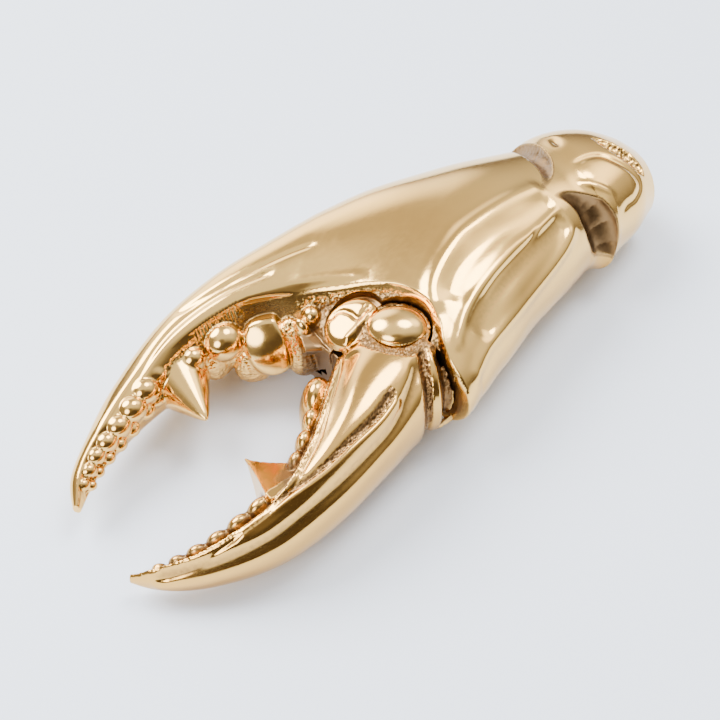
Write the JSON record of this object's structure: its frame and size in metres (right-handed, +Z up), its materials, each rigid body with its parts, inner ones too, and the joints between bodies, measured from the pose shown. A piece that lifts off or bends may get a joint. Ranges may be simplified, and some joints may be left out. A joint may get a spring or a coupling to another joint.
{
  "type": "lobster cracker",
  "caption": "Hand cracker for lobster shells, shaped as a cast brass lobster claw, with one hinged finger that closes on the fixed finger.",
  "frame": {"origin": "centre of the claw's footprint, on the surface it rests on", "axes": "+X from the finger tips to the wrist, +Y from the moving finger to the fixed finger, +Z up"},
  "size_m": [0.1753, 0.0726, 0.0349],
  "materials": {
    "shell_brass": "mirror polished casting, dark stippled recesses",
    "finger_brass": "mirror polished casting, dark stippled recesses",
    "screw_brass": "turned, satin",
    "bush_bronze": "turned bronze, oiled",
    "pin_steel": "ground",
    "spring_steel": "drawn wire, oiled"
  },
  "bodies": {
    "claw": {"upper_shell": "shell_brass", "lower_shell": "shell_brass", "pivot_bush": "bush_bronze", "return_spring": "spring_steel", "stop_pin": "pin_steel", "dowel_pins": "pin_steel", "shell_screws": "screw_brass"},
    "jaw": {"moving_finger": "finger_brass", "pivot_pin": "pin_steel", "upper_thrust_washer": "bush_bronze", "lower_thrust_washer": "bush_bronze", "upper_knuckle_cap": "finger_brass", "lower_knuckle_cap": "finger_brass"}
  },
  "joints": [
    {"name": "jaw_hinge", "type": "hinge", "parent": "claw", "child": "jaw", "pos_m": [-0.0072, -0.0088, 0.015], "axis": [0, 0, -1], "range_deg": [0, 12], "stiffness_Nm_per_rad": 0.5, "springref_deg": -17.19, "deforming": ["return_spring"]}
  ]
}
